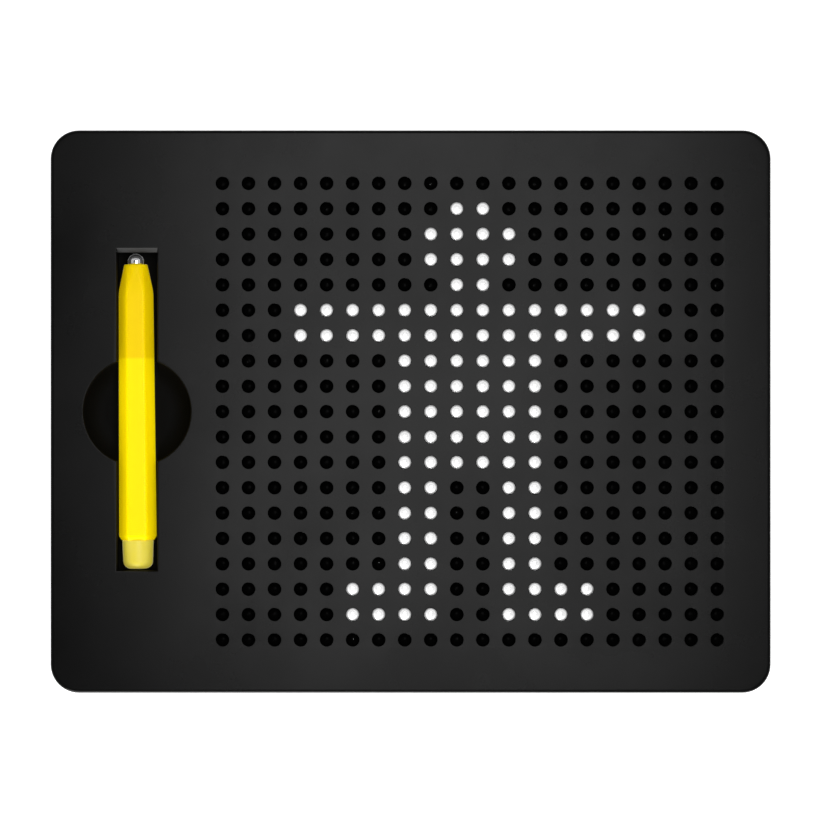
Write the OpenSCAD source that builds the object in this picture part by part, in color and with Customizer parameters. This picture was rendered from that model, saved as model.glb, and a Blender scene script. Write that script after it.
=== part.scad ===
// Magnetic bead drawing board with its stylus.
// The board lies flat on its back: X is its width, Y its height as it is read, Z its thickness.
// The origin is the middle of the back face. Sizes are in millimetres.

/* [Case] */
// Width of the case, left to right
case_w = 213; // [213:0.5:230]
// Height of the case, bottom edge to top edge
case_h = 166.4; // [166.4:0.1:190]
// Thickness of the case
case_t = 13; // [12.8:0.1:13.4]
// Radius of the four corners, seen from the front
corner_r = 8.4; // [6:0.2:8.4]
// Rounding of the edge round the front face
edge_r = 1; // [0.6:0.1:2.4]
// Thickness of the front skin
skin_t = 2; // [1.6:0.1:2.4]
// Thickness of the side walls
wall_t = 2.2; // [1.8:0.1:2.2]
// Thickness of the rear cover's plate
cover_t = 2; // [1.8:0.1:2]

/* [Bead field] */
// Number of beads across
columns = 20; // [19:1:20]
// Distance between columns
pitch_x = 7.7; // [7.5:0.05:7.7]
// Distance between rows
pitch_y = 7.5; // [7.3:0.05:7.5]
// Middle of the field to the right of the middle of the case
field_x = 17.5; // [16:0.05:17.5]
// Diameter of a steel bead
bead_d = 4.76; // [4.7:0.01:4.8]
// Diameter of the mouth in front of each bead, which holds the bead in
mouth_d = 3.86; // [3.8:0.02:3.9]
// Thickness of the lip round each mouth
lip_t = 0.4; // [0.3:0.05:0.4]
// Diameter of the guide bores that the beads travel in
guide_d = 5.06; // [5.04:0.01:5.1]
// How far a bead moves between down and up
bead_travel = 3.8; // [3.8:0.01:3.85]

/* [Retainer sheet] */
// Thickness of the soft sheet that the beads snap through
sheet_t = 1; // [0.8:0.1:1]
// Diameter of its holes
sheet_hole_d = 4.2; // [4.16:0.02:4.24]

/* [Stylus pocket] */
// Middle of the pocket to the left of the middle of the case
pocket_x = -80.9; // [-82:0.1:-80.5]
// Width of the pocket
pocket_w = 12; // [11.8:0.1:12.6]
// Length of the pocket between its end walls
pocket_l = 94.2; // [94:0.1:97]
// Width of the bevel along the upper end of the pocket
pocket_bevel = 1.3; // [0.4:0.1:1.5]
// Diameter of the round finger well across the pocket
well_d = 31.8; // [28:0.1:32]
// Radius of the bowl between the well's wall and its floor
well_bowl_r = 6; // [3:0.5:8]

/* [Stylus] */
// Width of the barrel across its corners at the rear
barrel_rear_w = 11.15; // [10.9:0.05:11.2]
// Width of the barrel across its corners at the front
barrel_front_w = 10.3; // [9.9:0.05:10.4]
// Length of the barrel
barrel_l = 81.7; // [78:0.1:82]
// Length of the tapered nose
nose_l = 7.1; // [6:0.1:9]
// Width of the nose at its tip
nose_w = 6.9; // [6.5:0.1:7.4]
// Diameter of the steel ball at the tip
tip_ball_d = 4.8; // [4.6:0.05:4.9]
// How far the ball stands out of the nose
tip_out = 3.2; // [2.8:0.1:3.2]
// Length of the end cap behind the barrel
cap_l = 8.5; // [7:0.1:8.7]
// Diameter of the end cap
cap_d = 9.3; // [8.8:0.05:9.4]
// Rounding at the end cap's rear
cap_r = 2.3; // [1.5:0.1:3]
// Length of the bar magnet
magnet_l = 25; // [15:1:30]
// Angle that the stylus lies at in its pocket
stylus_turn = 0.45; // [0:0.05:0.45]

/* [Screws] */
// Diameter of the screw heads
screw_head_d = 5.4; // [5:0.1:5.6]
// Diameter of the screw shanks
screw_d = 2.7; // [2.5:0.1:2.8]
// Length of the screws under the head
screw_l = 8; // [6:0.5:8]

/* [Hidden] */
$fn = 48;

// Beads that stand up, row by row from the top: [first column, last column] of each run
RAISED = [
  [],
  [[9, 10]],
  [[8, 11]],
  [[8, 11]],
  [[9, 10]],
  [[3, 16]],
  [[3, 16]],
  [[7, 12]],
  [[7, 12]],
  [[7, 12]],
  [[7, 12]],
  [[7, 12]],
  [[7, 8], [11, 12]],
  [[7, 8], [11, 12]],
  [[7, 8], [11, 12]],
  [[7, 8], [11, 12]],
  [[5, 8], [11, 14]],
  [[5, 8], [11, 14]],
  []
];
rows = len(RAISED);

// Small clearance between pieces that are only laid together
fit_gap = 0.12;
// How far a cutter runs past the face it opens
over = 1;

// Heights of the layers, from the back face
tray_z = 3.3;
tray_floor_t = 1.4;
bead_down_z = tray_z + tray_floor_t + fit_gap + bead_d / 2;
bead_up_z = bead_down_z + bead_travel;
sheet_z = (bead_down_z + bead_up_z - sheet_t) / 2;
field_z = sheet_z + sheet_t;
guide_top_z = case_t - lip_t;

// The tray, with a margin outside the outermost guide bores
tray_margin = 1.9;
tray_w = (columns - 1) * pitch_x + guide_d + 2 * tray_margin;
tray_h = (rows - 1) * pitch_y + guide_d + 2 * tray_margin;
tray_r = 2;
rib_t = 1.6;
rib_gap = 0.3;
rib_drop = 3.6;

// The rectangle of the front panel that holds the bores
field_w = tray_w + 2 * rib_gap;
field_h = tray_h + 2 * rib_gap;
field_r = tray_r + rib_gap;

// The pocket and its well
pocket_floor_z = 3.6;
pocket_wall = 1.8;
pocket_base_z = 2.3;
block_top_z = case_t - skin_t / 2;

// The stylus rests on one flat of its hexagon, and its middle is set by its own length
hex_flat = cos(30);
stylus_l = tip_out + barrel_l + cap_l;
stylus_z = pocket_floor_z + fit_gap + barrel_rear_w / 2 * hex_flat;
stylus_x = -0.3;
stylus_y = 0.1;
corner_round = 0.8;
bore_d = 5.2;
bore_front = 1.9;
seat_d = tip_ball_d + 0.1;
magnet_d = 5;
spigot_l = 7;
spigot_d = 6.6;
socket_d = 6.7;
shoulder_l = 1.2;
shoulder_w = 9.9;
nose_rear_w = 9.8;
nose_blend_l = 2.4;
cap_taper = 0.25;

// Screw bosses stand on cups in the rear cover
boss_r = 3.6;
cup_r = 4;
cup_top_z = 3.6;
head_t = 1.7;
head_seat_z = 2.3;
head_room_r = screw_head_d / 2 + 0.35;
shank_room_r = screw_d / 2 + 0.3;
pilot_r = screw_d / 2 + 0.06;
recess_l = 3;
recess_w = 0.75;
recess_depth = 0.9;
edge_screw_x = case_w / 2 - 7;
edge_screw_y = case_h / 2 - 6.9;
inner_screw_x = -66.6;
inner_screw_y = 50;
SCREWS = [
  for (x = [-edge_screw_x, field_x, edge_screw_x], y = [-edge_screw_y, edge_screw_y]) [x, y],
  for (y = [-inner_screw_y, inner_screw_y]) [inner_screw_x, y],
  [edge_screw_x, 0]
];

// Ribs on the rear cover that carry the tray
cover_lip_h = 1.2;
cover_lip_t = 1.4;
cover_edge = 0.5;
bearer_t = 1.6;
bearer_bays = 3;

ROW_NUMBERS = [1 : rows];

function two_digits(n) = str(n < 10 ? "0" : "", n);
function raised_name(row) = str("raised_beads_row_", two_digits(row));
function lowered_name(row) = str("lowered_beads_row_", two_digits(row));
function is_raised(row, column) =
  len([for (run = RAISED[row - 1]) if (column >= run[0] && column <= run[1]) run]) > 0;
function bead_x(column) = field_x + (column - (columns - 1) / 2) * pitch_x;
function bead_y(row) = ((rows + 1) / 2 - row) * pitch_y;

// ---------- shared shapes ----------

// A rectangle with true arcs at its corners
module rounded_rect(w, h, r) {
  square([w - 2 * r, h], center = true);
  square([w, h - 2 * r], center = true);
  for (x = [-1, 1], y = [-1, 1]) translate([x * (w / 2 - r), y * (h / 2 - r)]) circle(r = r);
}

module plate(w, h, r, z, t) {
  translate([0, 0, z]) linear_extrude(t) rounded_rect(w, h, r);
}

// One circle on every bead position
module bead_circles(d) {
  for (row = ROW_NUMBERS, column = [0 : columns - 1])
    translate([bead_x(column), bead_y(row)]) circle(d = d, $fn = 24);
}

module at_screws() {
  for (p = SCREWS) translate([p[0], p[1], 0]) children();
}

// A straight hexagon with rounded corners, w across its corners, with two flats level
module hexagon(w) {
  offset(r = corner_round, $fn = 24) circle(d = w - 2 * corner_round, $fn = 6);
}

// Puts a piece that is drawn along +Z, nose at the far end, into its place in the pocket
module in_pocket() {
  translate([pocket_x + stylus_x, stylus_y, stylus_z]) rotate([0, 0, stylus_turn])
    rotate([-90, 0, 0]) translate([0, 0, -stylus_l / 2]) children();
}

// ---------- case ----------

// The outside of the front panel, with its rounded front edge
module case_outside() {
  hull() {
    plate(case_w, case_h, corner_r, cover_t, case_t - edge_r - cover_t, $fn = 32);
    for (x = [-1, 1], y = [-1, 1])
      translate([x * (case_w / 2 - corner_r), y * (case_h / 2 - corner_r), case_t - edge_r])
        rotate_extrude($fn = 32) translate([corner_r - edge_r, 0]) circle(r = edge_r, $fn = 32);
  }
}

// Solid parts that hang under the skin: the rib round the bead field and the screw bosses
module panel_inside() {
  rib_z = field_z - rib_drop;
  translate([field_x, 0, 0])
    plate(field_w + 2 * rib_t, field_h + 2 * rib_t, field_r + rib_t, rib_z, block_top_z - rib_z);
  at_screws() translate([0, 0, cup_top_z]) cylinder(r = boss_r, h = block_top_z - cup_top_z);
}

// The rectangle round the stylus pocket and the circle round its well
module pocket_block(z, t) {
  translate([pocket_x, 0, z]) {
    linear_extrude(t) square([pocket_w + 2 * pocket_wall, pocket_l + 2 * pocket_wall], center = true);
    cylinder(d = well_d + 2 * pocket_wall, h = t);
  }
}

// The hollow that the stylus lies in, with a bevel along the top of its upper end wall
module pocket_hollow() {
  depth = case_t - pocket_floor_z;
  translate([pocket_x, 0, pocket_floor_z]) {
    translate([-pocket_w / 2, 0, 0]) rotate([90, 0, 90]) linear_extrude(pocket_w)
      polygon([
        [-pocket_l / 2, 0],
        [pocket_l / 2, 0],
        [pocket_l / 2, depth - pocket_bevel],
        [pocket_l / 2 + pocket_bevel + over, depth + over],
        [-pocket_l / 2, depth + over]
      ]);
    rotate_extrude() difference() {
      square([well_d / 2, depth + over]);
      translate([well_d / 2 - well_bowl_r, 0]) difference() {
        square(well_bowl_r);
        translate([0, well_bowl_r]) circle(r = well_bowl_r);
      }
    }
  }
}

// The front panel is one moulding. It is drawn as three nodes, which meet face to face: this shell, the
// bead field and the stylus pocket. Apart, each has a shape that is simple to collide with.
module front_panel() {
  inner_r = corner_r - wall_t;
  color("#26262a") difference() {
    union() {
      difference() {
        case_outside();
        plate(case_w - 2 * wall_t, case_h - 2 * wall_t, inner_r, 0, case_t - skin_t);
      }
      panel_inside();
    }
    translate([field_x, 0, 0]) plate(field_w, field_h, field_r, 0, case_t + over);
    pocket_block(0, case_t + over);
    at_screws() cylinder(r = pilot_r, h = cup_top_z + screw_l);
  }
}

// The part of the front panel over the beads, with a guide bore and a narrower mouth for each
module bead_field() {
  color("#26262a") difference() {
    translate([field_x, 0, 0]) plate(field_w, field_h, field_r, field_z, case_t - field_z);
    translate([0, 0, field_z - over])
      linear_extrude(guide_top_z - field_z + over) bead_circles(guide_d);
    translate([0, 0, guide_top_z - over])
      linear_extrude(lip_t + 2 * over) bead_circles(mouth_d);
  }
}

// The part of the front panel that holds the stylus
module stylus_pocket() {
  color("#26262a") difference() {
    pocket_block(pocket_base_z, case_t - pocket_base_z);
    pocket_hollow();
  }
}

// A grid of ribs under the tray, seen from the front
module bearers() {
  for (i = [0 : bearer_bays]) {
    translate([(i / bearer_bays - 0.5) * (tray_w - bearer_t), 0]) square([bearer_t, tray_h], center = true);
    translate([0, (i / bearer_bays - 0.5) * (tray_h - bearer_t)]) square([tray_w, bearer_t], center = true);
  }
}

// The back: a flat plate with a locating lip, bearers for the tray and a cup for each screw
module rear_cover() {
  lip_w = case_w - 2 * (wall_t + fit_gap);
  lip_h = case_h - 2 * (wall_t + fit_gap);
  lip_r = corner_r - wall_t - fit_gap;
  color("#1f1f22") difference() {
    union() {
      plate(case_w - 2 * cover_edge, case_h - 2 * cover_edge, corner_r - cover_edge, 0, cover_t);
      plate(case_w, case_h, corner_r, cover_edge, cover_t - cover_edge);
      difference() {
        plate(lip_w, lip_h, lip_r, cover_t, cover_lip_h);
        plate(lip_w - 2 * cover_lip_t, lip_h - 2 * cover_lip_t, lip_r - cover_lip_t, 0, case_t);
      }
      translate([field_x, 0, cover_t - over]) linear_extrude(tray_z - cover_t + over) bearers();
      at_screws() cylinder(r = cup_r, h = cup_top_z);
    }
    at_screws() {
      translate([0, 0, -over]) cylinder(r = head_room_r, h = head_seat_z + over);
      cylinder(r = shank_room_r, h = cup_top_z + over);
    }
  }
}

// ---------- inside the case ----------

// The moulded tray under the field, with one blind cell for each bead
module bead_tray() {
  cell_h = sheet_z - tray_z - tray_floor_t;
  color("#2c2c30") {
    translate([field_x, 0, 0]) plate(tray_w, tray_h, tray_r, tray_z, tray_floor_t);
    difference() {
      translate([field_x, 0, 0]) plate(tray_w, tray_h, tray_r, tray_z + tray_floor_t, cell_h);
      translate([0, 0, tray_z + tray_floor_t]) linear_extrude(cell_h + over) bead_circles(guide_d);
    }
  }
}

// The soft sheet between tray and panel, whose holes are narrower than the beads
module retainer_sheet() {
  color("#3a3a3e") translate([0, 0, sheet_z]) linear_extrude(sheet_t) difference() {
    translate([field_x, 0]) rounded_rect(tray_w, tray_h, tray_r);
    bead_circles(sheet_hole_d);
  }
}

module case_screws() {
  color("silver") at_screws() difference() {
    union() {
      translate([0, 0, head_seat_z - head_t]) cylinder(d = screw_head_d, h = head_t);
      translate([0, 0, head_seat_z - over / 2]) cylinder(d = screw_d, h = screw_l + over / 2);
    }
    for (turn = [0, 90]) rotate([0, 0, turn]) translate([0, 0, head_seat_z - head_t])
      cube([recess_l, recess_w, 2 * recess_depth], center = true);
  }
}

// ---------- beads ----------

module beads(row, up) {
  z = up ? bead_up_z : bead_down_z;
  color(up ? "#e8e8e8" : "#9a9a9a")
    for (column = [0 : columns - 1]) if (is_raised(row, column) == up)
      translate([bead_x(column), bead_y(row), z]) sphere(d = bead_d);
}

// ---------- stylus ----------

// The outside of the barrel, which widens over the shoulder and narrows along its length to the nose
module barrel_outside() {
  nose_z = cap_l + barrel_l;
  slice = 0.01;
  hull() {
    translate([0, 0, cap_l]) linear_extrude(slice) hexagon(shoulder_w);
    translate([0, 0, cap_l + shoulder_l]) linear_extrude(slice) hexagon(barrel_rear_w);
    translate([0, 0, nose_z - nose_l - nose_blend_l]) linear_extrude(slice) hexagon(barrel_front_w);
    translate([0, 0, nose_z - nose_l]) linear_extrude(slice) hexagon(nose_rear_w);
    translate([0, 0, nose_z - slice]) cylinder(d = nose_w, h = slice, $fn = 32);
  }
}

// The hexagonal barrel, bored for the cap's spigot, the magnet and the tip ball
module stylus_barrel() {
  nose_z = cap_l + barrel_l;
  color("#f4d60a") in_pocket() difference() {
    barrel_outside();
    translate([0, 0, cap_l + spigot_l]) cylinder(d = bore_d, h = barrel_l - spigot_l - bore_front);
    translate([0, 0, cap_l - over]) cylinder(d = socket_d, h = spigot_l + fit_gap + over);
    translate([0, 0, nose_z - bore_front - over]) cylinder(d = seat_d, h = bore_front + 2 * over);
  }
}

// The plug that closes the rear of the barrel
module stylus_end_cap() {
  rear_r = cap_d / 2 - cap_taper;
  color("#f0df55") in_pocket() {
    rotate_extrude() intersection() {
      square([cap_d, cap_l]);
      union() {
        square([rear_r - cap_r, cap_l]);
        translate([rear_r - cap_r, cap_r]) circle(r = cap_r);
        polygon([[0, cap_r], [rear_r, cap_r], [cap_d / 2, cap_l], [0, cap_l]]);
      }
    }
    translate([0, 0, cap_l - over]) cylinder(d = spigot_d, h = spigot_l + over);
  }
}

// The bar magnet, close behind the ball
module stylus_magnet() {
  ball_back_z = stylus_l - tip_ball_d;
  color("dimgray") in_pocket() translate([0, 0, ball_back_z - fit_gap / 2 - magnet_l])
    cylinder(d = magnet_d, h = magnet_l);
}

module stylus_tip_ball() {
  color("white") in_pocket() translate([0, 0, stylus_l - tip_ball_d / 2]) sphere(d = tip_ball_d);
}

front_panel();
bead_field();
stylus_pocket();
rear_cover();
bead_tray();
retainer_sheet();
case_screws();
stylus_barrel();
stylus_end_cap();
stylus_magnet();
stylus_tip_ball();
for (row = ROW_NUMBERS) beads(row, true);
for (row = ROW_NUMBERS) beads(row, false);
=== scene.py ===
"""The looks of a magnetic bead drawing board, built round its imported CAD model.

The board lies on its back: X is its width, Y its height as it is read, Z its thickness.
Meshes are worked out in millimetres and turned into metres when an object is made.
"""

import math
import random

import bmesh
import bpy
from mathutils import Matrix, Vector
from mathutils.geometry import delaunay_2d_cdt


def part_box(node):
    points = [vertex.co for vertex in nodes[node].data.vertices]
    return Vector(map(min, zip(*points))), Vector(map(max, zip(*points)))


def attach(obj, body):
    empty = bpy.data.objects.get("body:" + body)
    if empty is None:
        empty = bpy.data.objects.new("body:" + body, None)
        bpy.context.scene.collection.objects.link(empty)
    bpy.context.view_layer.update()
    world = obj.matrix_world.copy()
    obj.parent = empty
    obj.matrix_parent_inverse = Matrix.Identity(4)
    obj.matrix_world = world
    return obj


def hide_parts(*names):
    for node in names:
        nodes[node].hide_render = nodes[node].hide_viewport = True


MM = 0.001
random.seed(7)

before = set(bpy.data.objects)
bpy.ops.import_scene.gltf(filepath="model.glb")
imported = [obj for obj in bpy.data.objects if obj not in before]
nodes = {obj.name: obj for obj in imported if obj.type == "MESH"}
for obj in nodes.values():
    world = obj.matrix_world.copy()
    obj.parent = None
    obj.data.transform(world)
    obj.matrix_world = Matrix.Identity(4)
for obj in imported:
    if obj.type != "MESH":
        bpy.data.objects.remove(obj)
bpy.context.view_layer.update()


# ---------- sizes that the CAD model fixes, in millimetres ----------

def box_mm(node):
    """Lowest and highest corner of a CAD node."""
    lo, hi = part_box(node)
    return lo / MM, hi / MM


PANEL_LO, PANEL_HI = box_mm("front_panel")
CASE_W = PANEL_HI.x - PANEL_LO.x
CASE_H = PANEL_HI.y - PANEL_LO.y
TOP = PANEL_HI.z
COVER_T = 2.0
CORNER_R = 8.4
EDGE_R = 1.0
WALL_T = 2.2
SKIN_T = 2.0
JOINT_CHAMFER = 0.14

ROW_LO, ROW_HI = box_mm("lowered_beads_row_01")
BEAD_D = ROW_HI.y - ROW_LO.y
COLUMNS = 20
PITCH_X = (ROW_HI.x - ROW_LO.x - BEAD_D) / (COLUMNS - 1)
FIRST_X = ROW_LO.x + BEAD_D / 2
ROWS = 19
FIRST_Y = (ROW_LO.y + ROW_HI.y) / 2
LAST_Y = sum(v.y for v in box_mm("lowered_beads_row_19")) / 2
PITCH_Y = (FIRST_Y - LAST_Y) / (ROWS - 1)
FIELD_X = FIRST_X + PITCH_X * (COLUMNS - 1) / 2
BEAD_PLACES = [(FIRST_X + PITCH_X * c, FIRST_Y - PITCH_Y * r) for r in range(ROWS) for c in range(COLUMNS)]

MOUTH_R = 1.93
GUIDE_R = 2.53
LIP_T = 0.4
MOUTH_ROUND = 0.15
HOLE_SIDES = 28

FIELD_LO, FIELD_HI = box_mm("bead_field")
FIELD_Z = FIELD_LO.z
FIELD_W = FIELD_HI.x - FIELD_LO.x
FIELD_H = FIELD_HI.y - FIELD_LO.y
FIELD_R = 2.3
RIB_T = 1.6
RIB_DROP = 3.6

POCKET_X = -80.9
POCKET_W = 12.0
POCKET_L = 94.2
POCKET_BEVEL = 1.3
POCKET_Z = 3.6
POCKET_WALL = 1.8
POCKET_BASE = 2.3
WELL_R = 15.9
BOWL_R = 6.0
RIM_R = 0.35

EDGE_SCREW_X, EDGE_SCREW_Y = 99.5, 76.3
INNER_SCREW_X, INNER_SCREW_Y = -66.6, 50.0
SCREWS = [(x, y) for x in (-EDGE_SCREW_X, FIELD_X, EDGE_SCREW_X) for y in (-EDGE_SCREW_Y, EDGE_SCREW_Y)]
SCREWS += [(INNER_SCREW_X, -INNER_SCREW_Y), (INNER_SCREW_X, INNER_SCREW_Y), (EDGE_SCREW_X, 0.0)]
BOSS_R, PILOT_R, SCREW_TOP = 3.6, 1.41, 11.6
CUP_R, CUP_TOP = 4.0, 3.6
HEAD_R, HEAD_ROOM_R, HEAD_Z, SEAT_Z = 2.7, 3.05, 0.6, 2.3
SHANK_R, SHANK_ROOM_R, SHANK_END = 1.35, 1.65, 10.3
THREAD_PITCH, THREAD_DEPTH = 0.9, 0.22
RECESS_HALF_W, RECESS_ARM, RECESS_DEPTH = 0.42, 1.55, 0.9

HOLE_ROOM_SIDES = 40
COVER_EDGE_R = 0.6
SCREW_LEAD = 0.3
COVER_LIP_GAP, COVER_LIP_T, COVER_LIP_H = 0.12, 1.4, 1.2
BEARER_T, BEARER_BAYS = 1.6, 3

STYLUS_L = 93.4
CAP_L, BARREL_END = 8.5, 90.2
STYLUS_TURN = math.radians(0.45)
BARREL_REAR_W, BARREL_FRONT_W, BARREL_CORNER = 11.15, 10.3, 0.8
MAGNET_ZONE_L = 31.0
SOCKET_R, SOCKET_L = 3.35, 7.12
SPIGOT_R, SPIGOT_L = 3.3, 7.0
MAGNET_BORE_R = 2.6
SEAT_R, SEAT_L = 2.45, 1.9


# ---------- mesh building ----------

class Shell:
    """Points and faces of one piece, in millimetres."""

    def __init__(self):
        self.points, self.faces = [], []
        self.lined = range(0)

    def loop(self, points):
        """Adds points and returns their numbers."""
        start = len(self.points)
        self.points += [tuple(p) for p in points]
        return list(range(start, len(self.points)))

    def strip(self, a, b):
        """Joins two closed loops of the same length with quads."""
        n = len(a)
        for i in range(n):
            j = (i + 1) % n
            self.faces.append((a[i], a[j], b[j], b[i]))

    def stack(self, rings):
        """Joins each closed ring of points to the next."""
        loops = [self.loop(r) for r in rings]
        for a, b in zip(loops, loops[1:]):
            self.strip(a, b)
        return loops

    def polygon(self, points):
        self.faces.append(tuple(self.loop(points)))

    def regions(self, outlines, level):
        """Cuts the plane along closed outlines. level(owners) is the height of the region inside those
        outlines, or None where it is open. Upright walls join neighbours at different heights."""
        coords, loops = [], []
        for outline in outlines:
            loops.append(list(range(len(coords), len(coords) + len(outline))))
            coords += [Vector(p) for p in outline]
        flat, _, triangles, _, _, owners = delaunay_2d_cdt(coords, [], loops, 1, 1e-5)
        heights = [level(frozenset(o)) for o in owners]
        at_vertex, at_edge = {}, {}
        for triangle, z in zip(triangles, heights):
            if z is None:
                continue
            for k, v in enumerate(triangle):
                at_vertex.setdefault(v, set()).add(z)
                w = triangle[(k + 1) % 3]
                at_edge.setdefault((min(v, w), max(v, w)), []).append(z)
        number = {}

        def point(v, z):
            if (v, z) not in number:
                number[v, z] = len(self.points)
                self.points.append((flat[v].x, flat[v].y, z))
            return number[v, z]

        for triangle, z in zip(triangles, heights):
            if z is not None:
                self.faces.append(tuple(point(v, z) for v in triangle))
        for (v, w), levels in at_edge.items():
            if len(levels) == 2 and levels[0] != levels[1]:
                low, high = sorted(levels)
                up = [point(v, z) for z in sorted(at_vertex[v]) if low <= z <= high]
                down = [point(w, z) for z in sorted(at_vertex[w], reverse=True) if low <= z <= high]
                self.faces.append(tuple(up + down))

    def make(self, name, materials, sharp_deg=34.0):
        """The object, with its points welded, its normals outwards and its edges smooth or sharp by angle. The
        faces in self.lined take the second material."""
        mesh = bpy.data.meshes.new(name)
        mesh.from_pydata([tuple(c * MM for c in p) for p in self.points], [], self.faces)
        for material in materials:
            mesh.materials.append(material)
        for i in self.lined:
            mesh.polygons[i].material_index = 1
        work = bmesh.new()
        work.from_mesh(mesh)
        bmesh.ops.remove_doubles(work, verts=work.verts, dist=2e-6)
        bmesh.ops.recalc_face_normals(work, faces=work.faces)
        work.to_mesh(mesh)
        work.free()
        mesh.polygons.foreach_set("use_smooth", [True] * len(mesh.polygons))
        mesh.set_sharp_from_angle(angle=math.radians(sharp_deg))
        obj = bpy.data.objects.new(name, mesh)
        bpy.context.scene.collection.objects.link(obj)
        weighted = obj.modifiers.new("weighted_normals", "WEIGHTED_NORMAL")
        weighted.keep_sharp = True
        return obj


def circle(x, y, r, n, start=0.0):
    return [
        (x + r * math.cos(start + 2 * math.pi * i / n), y + r * math.sin(start + 2 * math.pi * i / n))
        for i in range(n)
    ]


def rounded_outline(x, y, w, h, r, n):
    """A rectangle with arcs of n parts at its corners, counter-clockwise."""
    points = []
    for k, (sx, sy) in enumerate(((1, 1), (-1, 1), (-1, -1), (1, -1))):
        for i in range(n + 1):
            a = math.pi / 2 * (k + i / n)
            points.append((x + sx * (w / 2 - r) + r * math.cos(a), y + sy * (h / 2 - r) + r * math.sin(a)))
    return points


def raised_to(points, z):
    return [(p[0], p[1], z) for p in points]


def rectangle(x0, y0, x1, y1):
    return [(x0, y0), (x1, y0), (x1, y1), (x0, y1)]


def case_ring(inset, z, n=12):
    return raised_to(rounded_outline(0, 0, CASE_W - 2 * inset, CASE_H - 2 * inset, CORNER_R - inset, n), z)


def quarter(radius, steps):
    """(inset from the wall, drop from the face) of points along a quarter round, from the wall to the face."""
    angles = [math.pi / 2 * i / steps for i in range(steps + 1)]
    return [(radius * (1 - math.cos(a)), radius * (1 - math.sin(a))) for a in angles]


# ---------- front panel ----------

def pocket_outline(grow, end_grow, arc):
    """Outline of the stylus pocket with its round finger well, grown outwards by grow. Its upper end lies
    end_grow above the line where the bevel meets the rounded rim of the sides."""
    hw, hl, r = POCKET_W / 2 + grow, POCKET_L / 2 + grow, WELL_R + grow
    upper = POCKET_L / 2 + POCKET_BEVEL - RIM_R + end_grow
    half = math.acos(hw / r)
    right = [(r * math.cos(a), r * math.sin(a)) for a in (half * (2 * i / arc - 1) for i in range(arc + 1))]
    left = [(-x, -y) for x, y in right]
    points = [(hw, -hl)] + right + [(hw, upper), (-hw, upper)] + left + [(-hw, -hl)]
    return [(POCKET_X + x, y) for x, y in points]


def add_pocket(shell, arc):
    """The pocket's walls and floor below its rounded rim. All but the bevel takes the second material."""
    rim_z = TOP - RIM_R
    hw, hl = POCKET_W / 2, POCKET_L / 2
    rim_y = hl + POCKET_BEVEL - RIM_R
    bevel_z = TOP - POCKET_BEVEL
    xs = (POCKET_X - hw, POCKET_X + hw)

    def across(y, z, y_below, z_below):
        shell.polygon([(xs[0], y, z), (xs[1], y, z), (xs[1], y_below, z_below), (xs[0], y_below, z_below)])

    across(rim_y, rim_z, hl, bevel_z)
    start = len(shell.faces)
    across(hl, bevel_z, hl, POCKET_Z)
    across(-hl, rim_z, -hl, POCKET_Z)
    bowl_steps = 10
    flat_r = WELL_R - BOWL_R
    profile = [(WELL_R, rim_z)]
    for k in range(bowl_steps + 1):
        a = math.pi / 2 * k / bowl_steps
        profile.append((flat_r + BOWL_R * math.cos(a), POCKET_Z + BOWL_R * (1 - math.sin(a))))
    floor = []
    for side in (1, -1):
        grid = []
        for r, z in profile:
            half = math.acos(hw / r)
            row = []
            for i in range(arc + 1):
                a = half * (2 * i / arc - 1)
                row.append((POCKET_X + side * r * math.cos(a), side * r * math.sin(a), z))
            grid.append(shell.loop(row))
        for a, b in zip(grid, grid[1:]):
            for i in range(arc):
                shell.faces.append((a[i], a[i + 1], b[i + 1], b[i]))
        floor.append([shell.points[i][:2] for i in grid[-1]])
        for end in (1, -1):
            edge = [shell.points[row[-1 if end * side > 0 else 0]] for row in grid]
            x = POCKET_X + side * hw
            far = [(x, -hl, POCKET_Z), (x, -hl, rim_z)]
            if end > 0:
                far = [(x, hl, POCKET_Z), (x, hl, bevel_z), (x, rim_y, rim_z)]
            shell.polygon(edge + far)
    outline = [(xs[1], -hl)] + floor[0] + [(xs[1], hl), (xs[0], hl)] + floor[1] + [(xs[0], -hl)]
    shell.regions([outline], lambda owners: POCKET_Z)
    shell.lined = range(start, len(shell.faces))


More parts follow.
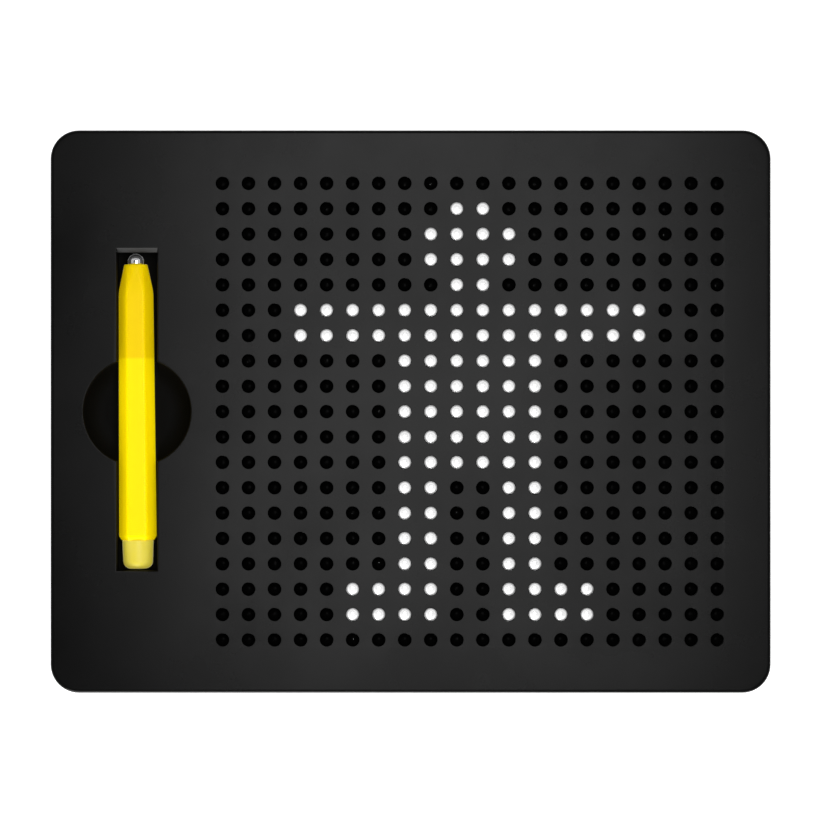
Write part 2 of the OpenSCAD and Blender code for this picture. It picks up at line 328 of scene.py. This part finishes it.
def front_panel_mesh():
    """The one moulding that the CAD model draws as shell, bead field and stylus pocket."""
    shell = Shell()
    arc = 40
    rim = quarter(RIM_R, 4)
    edge = quarter(EDGE_R, 8)
    mouth = quarter(MOUTH_ROUND, 3)

    # The side wall, its rounded edge and a small chamfer at the joint line with the cover
    rings = [case_ring(JOINT_CHAMFER, COVER_T), case_ring(0, COVER_T + JOINT_CHAMFER)]
    rings += [case_ring(inset, TOP - drop) for inset, drop in edge]
    shell.stack(rings)

    # The flat face, open at the mouths and the pocket
    outlines = [[p[:2] for p in rings[-1]], pocket_outline(RIM_R, RIM_R, arc)]
    outlines += [circle(x, y, MOUTH_R + MOUTH_ROUND, HOLE_SIDES) for x, y in BEAD_PLACES]
    shell.regions(outlines, lambda owners: TOP if owners == {0} else None)

    # The rounded rims of the pocket and of the mouths
    shell.stack([raised_to(pocket_outline(inset, RIM_R - drop, arc), TOP - drop) for inset, drop in rim])
    add_pocket(shell, arc)
    for x, y in BEAD_PLACES:
        levels = [(MOUTH_R + inset, TOP - drop) for inset, drop in reversed(mouth)]
        levels.append((MOUTH_R, TOP - LIP_T))
        shell.stack([raised_to(circle(x, y, r, HOLE_SIDES), z) for r, z in levels])

    # The inner side, with the bores, the ribs, the pocket's block and the screw bosses
    shapes, kinds = [], []

    def shape(kind, outline):
        kinds.append(kind)
        shapes.append(outline)

    shape("case", [p[:2] for p in rings[0]])
    shape("inner", rounded_outline(0, 0, CASE_W - 2 * WALL_T, CASE_H - 2 * WALL_T, CORNER_R - WALL_T, 8))
    shape("rib", rounded_outline(FIELD_X, 0, FIELD_W + 2 * RIB_T, FIELD_H + 2 * RIB_T, FIELD_R + RIB_T, 5))
    shape("field", rounded_outline(FIELD_X, 0, FIELD_W, FIELD_H, FIELD_R, 5))
    block_w, block_h = POCKET_W / 2 + POCKET_WALL, POCKET_L / 2 + POCKET_WALL
    shape("pocket", rectangle(POCKET_X - block_w, -block_h, POCKET_X + block_w, block_h))
    shape("pocket", circle(POCKET_X, 0, WELL_R + POCKET_WALL, 64))
    for x, y in SCREWS:
        shape("boss", circle(x, y, BOSS_R, 24))
        shape("pilot", circle(x, y, PILOT_R, 16))
    for x, y in BEAD_PLACES:
        shape("bore", circle(x, y, GUIDE_R, HOLE_SIDES))
        shape("mouth", circle(x, y, MOUTH_R, HOLE_SIDES))

    def inner_level(owners):
        inside = {kinds[o] for o in owners}
        if "mouth" in inside:
            return None
        if "bore" in inside:
            return TOP - LIP_T
        if "pilot" in inside:
            return SCREW_TOP
        heights = [TOP - SKIN_T if "inner" in inside else COVER_T]
        if "pocket" in inside:
            heights.append(POCKET_BASE)
        if "boss" in inside:
            heights.append(CUP_TOP)
        if "field" in inside:
            heights.append(FIELD_Z)
        elif "rib" in inside:
            heights.append(FIELD_Z - RIB_DROP)
        return min(heights)

    shell.regions(shapes, inner_level)
    return shell


# ---------- rear cover and screws ----------

def rear_cover_mesh():
    shell = Shell()
    rings = [case_ring(inset, drop) for inset, drop in reversed(quarter(COVER_EDGE_R, 4))]
    rings += [case_ring(0, COVER_T - JOINT_CHAMFER), case_ring(JOINT_CHAMFER, COVER_T)]
    shell.stack(rings)

    # The flat back, open at the screws
    outlines = [[p[:2] for p in rings[0]]]
    outlines += [circle(x, y, HEAD_ROOM_R + SCREW_LEAD, HOLE_ROOM_SIDES) for x, y in SCREWS]
    shell.regions(outlines, lambda owners: 0.0 if owners == {0} else None)
    for x, y in SCREWS:
        lip = [(HEAD_ROOM_R + inset, drop) for inset, drop in reversed(quarter(SCREW_LEAD, 3))]
        profile = lip + [(HEAD_ROOM_R, SEAT_Z), (SHANK_ROOM_R, SEAT_Z), (SHANK_ROOM_R, CUP_TOP)]
        shell.stack([raised_to(circle(x, y, r, HOLE_ROOM_SIDES), z) for r, z in profile])

    # The inner side, with the locating lip, the ribs under the tray and a cup for each screw
    shapes, kinds = [], []

    def shape(kind, outline):
        kinds.append(kind)
        shapes.append(outline)

    gap = WALL_T + COVER_LIP_GAP
    tray_lo, tray_hi = box_mm("bead_tray")
    tray_w, tray_h = tray_hi.x - tray_lo.x, tray_hi.y - tray_lo.y
    shape("plate", [p[:2] for p in rings[-1]])
    shape("lip", rounded_outline(0, 0, CASE_W - 2 * gap, CASE_H - 2 * gap, CORNER_R - gap, 8))
    inner = gap + COVER_LIP_T
    shape("inner", rounded_outline(0, 0, CASE_W - 2 * inner, CASE_H - 2 * inner, CORNER_R - inner, 8))
    half = BEARER_T / 2
    for i in range(BEARER_BAYS + 1):
        x = FIELD_X + (i / BEARER_BAYS - 0.5) * (tray_w - BEARER_T)
        y = (i / BEARER_BAYS - 0.5) * (tray_h - BEARER_T)
        shape("bearer", rectangle(x - half, -tray_h / 2, x + half, tray_h / 2))
        shape("bearer", rectangle(FIELD_X - tray_w / 2, y - half, FIELD_X + tray_w / 2, y + half))
    for x, y in SCREWS:
        shape("cup", circle(x, y, CUP_R, 32))
        shape("shank", circle(x, y, SHANK_ROOM_R, HOLE_ROOM_SIDES))

    def inner_level(owners):
        inside = {kinds[o] for o in owners}
        if "shank" in inside:
            return None
        heights = [COVER_T]
        if "lip" in inside and "inner" not in inside:
            heights.append(COVER_T + COVER_LIP_H)
        if "bearer" in inside:
            heights.append(tray_lo.z)
        if "cup" in inside:
            heights.append(CUP_TOP)
        return max(heights)

    shell.regions(shapes, inner_level)
    return shell


def screws_mesh():
    """Pan-head screws with a cross recess, each turned a little differently."""
    shell = Shell()
    n = 48
    for x, y in SCREWS:
        turn = random.uniform(0, math.pi / 2)
        c, s = math.cos(turn), math.sin(turn)
        dome = [(HEAD_R - 0.9 + 0.9 * math.sin(a), HEAD_Z + 0.75 * (1 - math.cos(a)))
                for a in (math.pi / 2 * i / 6 for i in range(7))]
        rings = [raised_to(circle(x, y, r, n), z) for r, z in dome]
        profile = [(HEAD_R, SEAT_Z - 0.12), (HEAD_R - 0.12, SEAT_Z), (SHANK_R, SEAT_Z)]
        root_r = SHANK_R - THREAD_DEPTH
        for k in range(int((SHANK_END - SEAT_Z - 1.4) / THREAD_PITCH)):
            z = SEAT_Z + 0.5 + THREAD_PITCH * k
            profile += [(root_r, z), (root_r, z + 0.3), (SHANK_R, z + 0.5), (SHANK_R, z + 0.6)]
        profile += [(root_r, SHANK_END - 0.5), (SHANK_R * 0.5, SHANK_END)]
        rings += [raised_to(circle(x, y, r, n), z) for r, z in profile]
        shell.stack(rings)
        shell.polygon(rings[-1])
        half, arm = RECESS_HALF_W, RECESS_ARM
        cross = [(arm, -half), (arm, half), (half, half), (half, arm), (-half, arm), (-half, half),
                 (-arm, half), (-arm, -half), (-half, -half), (-half, -arm), (half, -arm), (half, -half)]
        turned = [(x + c * u - s * v, y + s * u + c * v) for u, v in cross]
        face = [p[:2] for p in rings[0]]
        shell.regions([face, turned], lambda owners: HEAD_Z + RECESS_DEPTH if 1 in owners else HEAD_Z)
    return shell


# ---------- beads ----------

def ball_template(n):
    """A ball of radius 1 as a cube of n by n faces a side, blown round."""
    points, faces, known = [], [], {}

    def number(p):
        key = tuple(round(c, 6) for c in p)
        if key not in known:
            known[key] = len(points)
            points.append(p)
        return known[key]

    steps = [math.tan(math.pi / 4 * (2 * i / n - 1)) for i in range(n + 1)]
    for axis in range(3):
        for sign in (1, -1):
            def corner(i, j):
                p = [0.0, 0.0, 0.0]
                p[axis], p[(axis + 1) % 3], p[(axis + 2) % 3] = sign, steps[i] * sign, steps[j]
                return number(tuple(Vector(p).normalized()))
            for i in range(n):
                for j in range(n):
                    faces.append((corner(i, j), corner(i + 1, j), corner(i + 1, j + 1), corner(i, j + 1)))
    return points, faces


BALL = ball_template(10)


def add_ball(shell, centre, radius):
    points, faces = BALL
    start = len(shell.points)
    shell.points += [tuple(centre[k] + radius * p[k] for k in range(3)) for p in points]
    shell.faces += [tuple(start + i for i in f) for f in faces]


def bead_row_mesh(node):
    """One ball at each column where the CAD row has one."""
    lo, hi = box_mm(node)
    y, z = (lo.y + hi.y) / 2, (lo.z + hi.z) / 2
    found = {round((v.co.x / MM - FIRST_X) / PITCH_X) for v in nodes[node].data.vertices}
    shell = Shell()
    for column in sorted(found):
        add_ball(shell, (FIRST_X + PITCH_X * column, y, z), BEAD_D / 2)
    return shell


# ---------- stylus ----------

TIP_LO, TIP_HI = box_mm("stylus_tip_ball")
TIP = (TIP_LO + TIP_HI) / 2
TIP_R = (TIP_HI.x - TIP_LO.x) / 2
ARC_STEPS = 8


def on_stylus(x, y, s):
    """A point beside the stylus's axis, s along it from the rear of its cap, in board coordinates."""
    along = s - (STYLUS_L - TIP_R)
    return (
        TIP.x + x * math.cos(STYLUS_TURN) - along * math.sin(STYLUS_TURN),
        TIP.y + x * math.sin(STYLUS_TURN) + along * math.cos(STYLUS_TURN),
        TIP.z - y,
    )


def hexagon_ring(width, corner, s):
    """A hexagon of this width across its corners, each rounded by corner."""
    ring = []
    for k in range(6):
        middle = math.pi / 3 * k
        for i in range(ARC_STEPS + 1):
            a = middle + math.pi / 3 * (i / ARC_STEPS - 0.5)
            reach = width / 2 - corner
            ring.append(on_stylus(reach * math.cos(middle) + corner * math.cos(a),
                                  reach * math.sin(middle) + corner * math.sin(a), s))
    return ring


def round_ring(radius, s):
    return hexagon_ring(2 * radius, radius, s)


def between(a, b, t):
    return a + (b - a) * t


def barrel_mesh():
    """The barrel, with a socket for the cap at its rear, a bore for the magnet and a seat for the tip ball."""
    shell = Shell()
    socket_end, seat_end = CAP_L + SOCKET_L, BARREL_END - SEAT_L
    rings = [round_ring(SOCKET_R, socket_end), round_ring(SOCKET_R, CAP_L + 0.15), round_ring(SOCKET_R + 0.15, CAP_L)]
    rings += [hexagon_ring(9.45, 0.9, CAP_L), hexagon_ring(9.72, 0.9, CAP_L + 0.07)]
    rings.append(hexagon_ring(9.9, 0.85, CAP_L + 0.22))
    # The shoulder, eased into the barrel
    for t in (0.35, 0.7, 0.9):
        rings.append(hexagon_ring(between(9.95, 11.1, t), BARREL_CORNER, CAP_L + between(0.25, 1.15, t)))
    rear, front = CAP_L + 1.7, 80.7
    rings += [hexagon_ring(11.14, BARREL_CORNER, CAP_L + 1.35), hexagon_ring(BARREL_REAR_W, BARREL_CORNER, rear)]
    for i in range(1, 9):
        t = i / 8
        rings.append(hexagon_ring(between(BARREL_REAR_W, BARREL_FRONT_W, t), BARREL_CORNER, between(rear, front, t)))
    # The nose, which turns from a hexagon into a cone
    rings += [hexagon_ring(10.21, 0.8, 81.6), hexagon_ring(10.05, 0.82, 82.4), hexagon_ring(9.78, 0.88, 83.3)]
    for i in range(1, 11):
        t = i / 10
        rings.append(hexagon_ring(between(9.66, 7.0, t), between(0.95, 3.5, t), between(83.5, BARREL_END - 0.3, t)))
    rings += [round_ring(3.42, BARREL_END - 0.1), round_ring(3.26, BARREL_END)]
    rings += [round_ring(SEAT_R + 0.12, BARREL_END), round_ring(SEAT_R, BARREL_END - 0.12)]
    rings += [round_ring(SEAT_R, seat_end), round_ring(MAGNET_BORE_R, seat_end)]
    rings += [round_ring(MAGNET_BORE_R, socket_end), round_ring(SOCKET_R, socket_end)]
    shell.stack(rings)
    return shell


def cap_mesh():
    """The end cap, round at its rear, with the spigot that plugs into the barrel."""
    shell = Shell()
    rear_r, round_r = 4.4, 2.3
    rings = [round_ring(0.6, 0.0)]
    for i in range(1, 9):
        a = math.pi / 2 * i / 8
        rings.append(round_ring(rear_r - round_r * (1 - math.sin(a)), round_r * (1 - math.cos(a))))
    rings += [round_ring(4.52, 5.0), round_ring(4.63, CAP_L - 0.2)]
    rings += [round_ring(4.5, CAP_L - 0.06), round_ring(4.3, CAP_L), round_ring(SPIGOT_R, CAP_L)]
    rings += [round_ring(SPIGOT_R, CAP_L + SPIGOT_L - 0.2), round_ring(SPIGOT_R - 0.2, CAP_L + SPIGOT_L)]
    shell.stack(rings)
    shell.polygon(rings[0])
    shell.polygon(rings[-1])
    return shell


# ---------- materials ----------

class Nodes:
    """A material's node tree, with short ways to add to it."""

    def __init__(self, name):
        self.material = bpy.data.materials.new(name)
        self.material.use_nodes = True
        self.tree = self.material.node_tree
        self.shader = self.tree.nodes["Principled BSDF"]
        self.place = self.add("ShaderNodeTexCoord").outputs["Object"]

    def add(self, kind, **settings):
        node = self.tree.nodes.new(kind)
        for key, value in settings.items():
            setattr(node, key, value)
        return node

    def link(self, source, target):
        self.tree.links.new(source, target)

    def set(self, **values):
        for key, value in values.items():
            self.shader.inputs[key.replace("_", " ")].default_value = value

    def noise(self, size_mm, detail=2.0, roughness=0.5, stretch=None):
        """Noise whose features are about size_mm across, from 0 to 1."""
        node = self.add("ShaderNodeTexNoise")
        node.inputs["Scale"].default_value = 1 / (size_mm * MM)
        node.inputs["Detail"].default_value = detail
        node.inputs["Roughness"].default_value = roughness
        source = self.place
        if stretch:
            mapping = self.add("ShaderNodeMapping")
            mapping.inputs["Scale"].default_value = stretch
            self.link(source, mapping.inputs["Vector"])
            source = mapping.outputs["Vector"]
        self.link(source, node.inputs["Vector"])
        return node.outputs["Fac"]

    def ramp(self, source, low, high, out_low, out_high):
        """Maps low..high of source to out_low..out_high."""
        node = self.add("ShaderNodeMapRange")
        node.inputs["From Min"].default_value = low
        node.inputs["From Max"].default_value = high
        node.inputs["To Min"].default_value = out_low
        node.inputs["To Max"].default_value = out_high
        self.link(source, node.inputs["Value"])
        return node.outputs["Result"]

    def mix(self, factor, a, b):
        """A colour between a and b, each a colour or a socket."""
        node = self.add("ShaderNodeMix", data_type="RGBA")
        self.link(factor, node.inputs["Factor"])
        for socket, value in ((node.inputs[6], a), (node.inputs[7], b)):
            if isinstance(value, tuple):
                socket.default_value = (*value, 1.0)
            else:
                self.link(value, socket)
        return node.outputs[2]

    def bump(self, source, depth_mm):
        node = self.add("ShaderNodeBump")
        node.inputs["Strength"].default_value = 1.0
        node.inputs["Distance"].default_value = depth_mm * MM
        self.link(source, node.inputs["Height"])
        return node.outputs["Normal"]

    def finish(self, colour, roughness=None, normal=None):
        self.link(colour, self.shader.inputs["Base Color"])
        if roughness is not None:
            self.link(roughness, self.shader.inputs["Roughness"])
        if normal is not None:
            self.link(normal, self.shader.inputs["Normal"])
        return self.material


def black_plastic(name, dark, light, rough, grain_mm, grain_depth, specular):
    """Moulded black ABS: a fine even grain, faint cloudiness and a few dull rubbed patches."""
    m = Nodes(name)
    m.set(Specular_IOR_Level=specular)
    cloud = m.noise(14, detail=4)
    grain = m.noise(grain_mm, detail=3, roughness=0.6)
    wear = m.noise(42, detail=5, roughness=0.62)
    colour = m.mix(m.ramp(cloud, 0.35, 0.65, 0, 1), dark, light)
    rough_out = m.ramp(wear, 0.35, 0.7, rough - 0.04, rough + 0.05)
    normal = m.bump(grain, grain_depth)
    return m.finish(colour, rough_out, normal)


def steel(name, bright, shaded, metallic, roughness, sheen=0.0):
    """Steel with painted shade: its base colour goes dark deep in a hole. It is mixed by how open the surface is
    and by how high it stands over the table, which suits the board lying flat."""
    m = Nodes(name)
    m.set(Metallic=metallic, Specular_IOR_Level=0.0, Sheen_Weight=sheen, Sheen_Roughness=0.3)
    open_sky = m.add("ShaderNodeAmbientOcclusion", samples=16)
    open_sky.inputs["Distance"].default_value = 5 * MM
    scuff = m.noise(0.5, detail=4, roughness=0.6)
    tint = m.mix(m.ramp(m.noise(3.0), 0.3, 0.7, 0, 1), bright, tuple(0.96 * c for c in bright))
    split = m.add("ShaderNodeSeparateXYZ")
    m.link(m.add("ShaderNodeNewGeometry").outputs["Position"], split.inputs["Vector"])
    # Painted shade: ambient occlusion and height over the table darken the base colour of steel deep in a hole
    lit = m.add("ShaderNodeMath", operation="MAXIMUM")
    m.link(m.ramp(open_sky.outputs["AO"], 0.4, 0.48, 0, 1), lit.inputs[0])
    m.link(m.ramp(split.outputs["Z"], (TOP - 1.8) * MM, (TOP - 1.2) * MM, 0, 1), lit.inputs[1])
    colour = m.mix(lit.outputs[0], shaded, tint)
    rough_out = m.ramp(scuff, 0.35, 0.75, roughness - 0.03, roughness + 0.05)
    if sheen:
        grazing = m.add("ShaderNodeLayerWeight")
        soft = m.add("ShaderNodeMath", operation="MAXIMUM")
        m.link(rough_out, soft.inputs[0])
        m.link(m.ramp(grazing.outputs["Facing"], 0.55, 0.75, 0, 1), soft.inputs[1])
        rough_out = soft.outputs[0]
    normal = m.bump(m.noise(0.18, detail=2), 0.0015)
    return m.finish(colour, rough_out, normal)


def yellow_plastic(name, front, rear):
    """Yellow plastic that lets light through, deeper in colour over the magnet, with a painted glow from emission."""
    m = Nodes(name)
    m.set(Specular_IOR_Level=0.05, Coat_Weight=0.03, Coat_Roughness=0.12, Subsurface_Weight=0.7,
          Subsurface_Scale=0.005, Sheen_Weight=0.8, Sheen_Roughness=0.15, Emission_Strength=0.5)
    m.shader.inputs["Subsurface Radius"].default_value = (1.0, 0.85, 0.15)
    split = m.add("ShaderNodeSeparateXYZ")
    m.link(m.place, split.inputs["Vector"])
    magnet_y = (TIP.y + TIP_R - MAGNET_ZONE_L) * MM
    zone = m.ramp(split.outputs["Y"], magnet_y - 0.4 * MM, magnet_y + 0.4 * MM, 0, 1)
    flow = m.noise(9, detail=3, stretch=(1, 0.15, 1))
    colour = m.mix(zone, rear, front)
    shade = m.mix(m.ramp(flow, 0.3, 0.7, 0, 0.12), colour, tuple(0.72 * c for c in front))
    rough_out = m.ramp(m.noise(6, detail=5), 0.3, 0.7, 0.3, 0.4)
    normal = m.bump(m.noise(0.35, detail=3), 0.003)
    # Painted glow: emission in the plastic's own colour lifts the sides that lie in shade
    m.link(shade, m.shader.inputs["Emission Color"])
    return m.finish(shade, rough_out, normal)


def milky_plastic(name, colour, edge):
    """The paler, slightly milky plastic of the end cap, with a painted glow from emission."""
    m = Nodes(name)
    m.set(Specular_IOR_Level=0.3, Subsurface_Weight=0.4, Subsurface_Scale=0.003, Sheen_Weight=0.7,
          Sheen_Roughness=0.25, Emission_Strength=0.55)
    m.shader.inputs["Subsurface Radius"].default_value = (1.0, 0.8, 0.2)
    cloud = m.mix(m.ramp(m.noise(4, detail=4), 0.35, 0.7, 0, 0.15), colour, edge)
    rough_out = m.ramp(m.noise(5, detail=4), 0.3, 0.7, 0.32, 0.42)
    # Painted glow: emission in the cap's own colour lifts the sides that lie in shade
    m.link(cloud, m.shader.inputs["Emission Color"])
    return m.finish(cloud, rough_out, m.bump(m.noise(0.3, detail=3), 0.003))


def plated(name, colour, roughness):
    """Zinc or nickel plating: fine turning marks and cloudy tarnish."""
    m = Nodes(name)
    m.set(Metallic=1.0)
    tarnish = m.noise(1.6, detail=5, roughness=0.65)
    tone = m.mix(m.ramp(tarnish, 0.35, 0.7, 0, 1), colour, tuple(0.7 * c for c in colour))
    rough_out = m.ramp(m.noise(0.4, detail=4), 0.3, 0.7, roughness - 0.08, roughness + 0.12)
    return m.finish(tone, rough_out, m.bump(m.noise(0.12, detail=3), 0.006))


def rubbery(name, dark, light):
    """Matt elastomer, slightly cloudy."""
    m = Nodes(name)
    m.set(Specular_IOR_Level=0.2)
    tone = m.mix(m.ramp(m.noise(6, detail=4), 0.35, 0.65, 0, 1), dark, light)
    rough_out = m.ramp(m.noise(2, detail=4), 0.3, 0.7, 0.7, 0.85)
    return m.finish(tone, rough_out, m.bump(m.noise(0.25, detail=3), 0.02))


FRONT_BLACK = black_plastic("satin_black_abs", (0.0012,) * 3, (0.0017,) * 3, 0.27, 0.22, 0.0035, 0.08)
POCKET_BLACK = black_plastic("matt_black_abs", (0.001,) * 3, (0.0016,) * 3, 0.7, 0.35, 0.01, 0.06)
REAR_BLACK = black_plastic("textured_black_abs", (0.006,) * 3, (0.009,) * 3, 0.52, 0.55, 0.03, 0.4)
INNER_BLACK = black_plastic("inner_black_abs", (0.004,) * 3, (0.006,) * 3, 0.5, 0.3, 0.004, 0.3)
SHEET_BLACK = rubbery("black_elastomer", (0.004,) * 3, (0.007,) * 3)
BEAD_STEEL = steel("bead_steel", (0.96, 0.96, 0.96), (0.002, 0.002, 0.002), 0.33, 0.16)
TIP_STEEL = steel("tip_steel", (0.93, 0.93, 0.94), (0.25, 0.25, 0.26), 0.9, 0.06, sheen=1.0)
YELLOW = yellow_plastic("yellow_plastic", (0.6, 0.425, 0.0), (0.69, 0.53, 0.0))
PALE_YELLOW = milky_plastic("pale_yellow_plastic", (0.47, 0.395, 0.035), (0.56, 0.5, 0.15))
ZINC = plated("zinc_plate", (0.66, 0.66, 0.68), 0.34)
NICKEL = plated("nickel_plate", (0.6, 0.57, 0.53), 0.3)


# ---------- pieces ----------

def piece(shell, name, body, slot, materials, *stands_for):
    """Makes an object that rides on a body and shows in place of CAD nodes."""
    obj = shell.make(name, materials)
    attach(obj, body)
    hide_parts(*stands_for)
    return obj


def keep_cad(node, material):
    """Shows a CAD node as it is, with a finish of its own."""
    mesh = nodes[node].data
    mesh.materials.clear()
    mesh.materials.append(material)


piece(front_panel_mesh(), "panel_shell", "case", "black_abs_front", (FRONT_BLACK, POCKET_BLACK),
      "front_panel", "bead_field", "stylus_pocket")
piece(rear_cover_mesh(), "back_cover", "case", "black_abs_rear", (REAR_BLACK,), "rear_cover")
piece(screws_mesh(), "back_screws", "case", "screw_steel", (ZINC,), "case_screws")
keep_cad("bead_tray", INNER_BLACK)
keep_cad("retainer_sheet", SHEET_BLACK)
for node in sorted(nodes):
    if "_beads_row_" in node:
        state, _, _, row = node.split("_")
        piece(bead_row_mesh(node), f"{state}_row_{row}", node, "polished_steel", (BEAD_STEEL,), node)
piece(barrel_mesh(), "stylus_body", "stylus", "yellow_plastic", (YELLOW,), "stylus_barrel")
piece(cap_mesh(), "stylus_cap", "stylus", "pale_yellow_plastic", (PALE_YELLOW,), "stylus_end_cap")
keep_cad("stylus_magnet", NICKEL)
tip = Shell()
add_ball(tip, TIP, TIP_R)
piece(tip, "stylus_point", "stylus", "polished_steel", (TIP_STEEL,), "stylus_tip_ball")


# ---------- studio ----------

def make_floor():
    mesh = bpy.data.meshes.new("floor")
    half = 12.0
    mesh.from_pydata([(-half, -half, 0), (half, -half, 0), (half, half, 0), (-half, half, 0)], [], [(0, 1, 2, 3)])
    m = Nodes("floor_white")
    m.set(Specular_IOR_Level=0.0, Roughness=1.0, Emission_Strength=0.9)
    m.shader.inputs["Emission Color"].default_value = (1, 1, 1, 1)
    tone = m.mix(m.noise(400), (0.62, 0.62, 0.62), (0.66, 0.66, 0.66))
    mesh.materials.append(m.finish(tone))
    floor = bpy.data.objects.new("floor", mesh)
    bpy.context.scene.collection.objects.link(floor)
    floor.location.z = -0.15 * MM


def make_room():
    """An even white room whose light dips in one band above the horizon."""
    world = bpy.data.worlds.new("studio")
    bpy.context.scene.world = world
    world.use_nodes = True
    tree = world.node_tree
    background = tree.nodes["Background"]
    place = tree.nodes.new("ShaderNodeTexCoord")
    split = tree.nodes.new("ShaderNodeSeparateXYZ")
    ramp = tree.nodes.new("ShaderNodeValToRGB")
    tree.links.new(place.outputs["Generated"], split.inputs["Vector"])
    tree.links.new(split.outputs["Z"], ramp.inputs["Fac"])
    tree.links.new(ramp.outputs["Color"], background.inputs["Color"])
    stops = ((0.0, 1.1), (0.3, 1.1), (0.5, 1.1), (0.57, 0.4), (0.68, 0.4), (0.75, 1.0), (0.88, 0.12), (1.0, 0.08))
    elements = ramp.color_ramp.elements
    while len(elements) < len(stops):
        elements.new(0.5)
    for element, (position, value) in zip(elements, stops):
        element.position = position
        element.color = (value, value, value, 1)
    background.inputs["Strength"].default_value = 0.75


def add_area(name, place, target, size_x, size_y, watts):
    data = bpy.data.lights.new(name, "AREA")
    data.shape = "RECTANGLE"
    data.size, data.size_y, data.energy = size_x, size_y, watts
    light = bpy.data.objects.new(name, data)
    light.location = place
    light.rotation_euler = (Vector(target) - Vector(place)).to_track_quat("-Z", "Y").to_euler()
    bpy.context.scene.collection.objects.link(light)


def make_camera():
    data = bpy.data.cameras.new("camera")
    data.lens, data.sensor_width = 180.0, 36.0
    view_width, plane_z = 243.5, 12.0
    distance = view_width * data.lens / data.sensor_width
    data.clip_start, data.clip_end = 0.01, 100.0
    camera = bpy.data.objects.new("camera", data)
    camera.location = (0.26 * MM, 0.02 * MM, (plane_z + distance) * MM)
    bpy.context.scene.collection.objects.link(camera)
    bpy.context.scene.camera = camera


make_floor()
make_room()
add_area("top_box", (0.014, 0.03, 0.42), (0.014, 0.03, 0), 0.22, 0.3, 1.32)
add_area("front_box", (-0.2, -0.8, 0.16), (0, 0, 0), 0.5, 0.3, 7.0)
make_camera()
bpy.context.scene.view_settings.view_transform = "Standard"
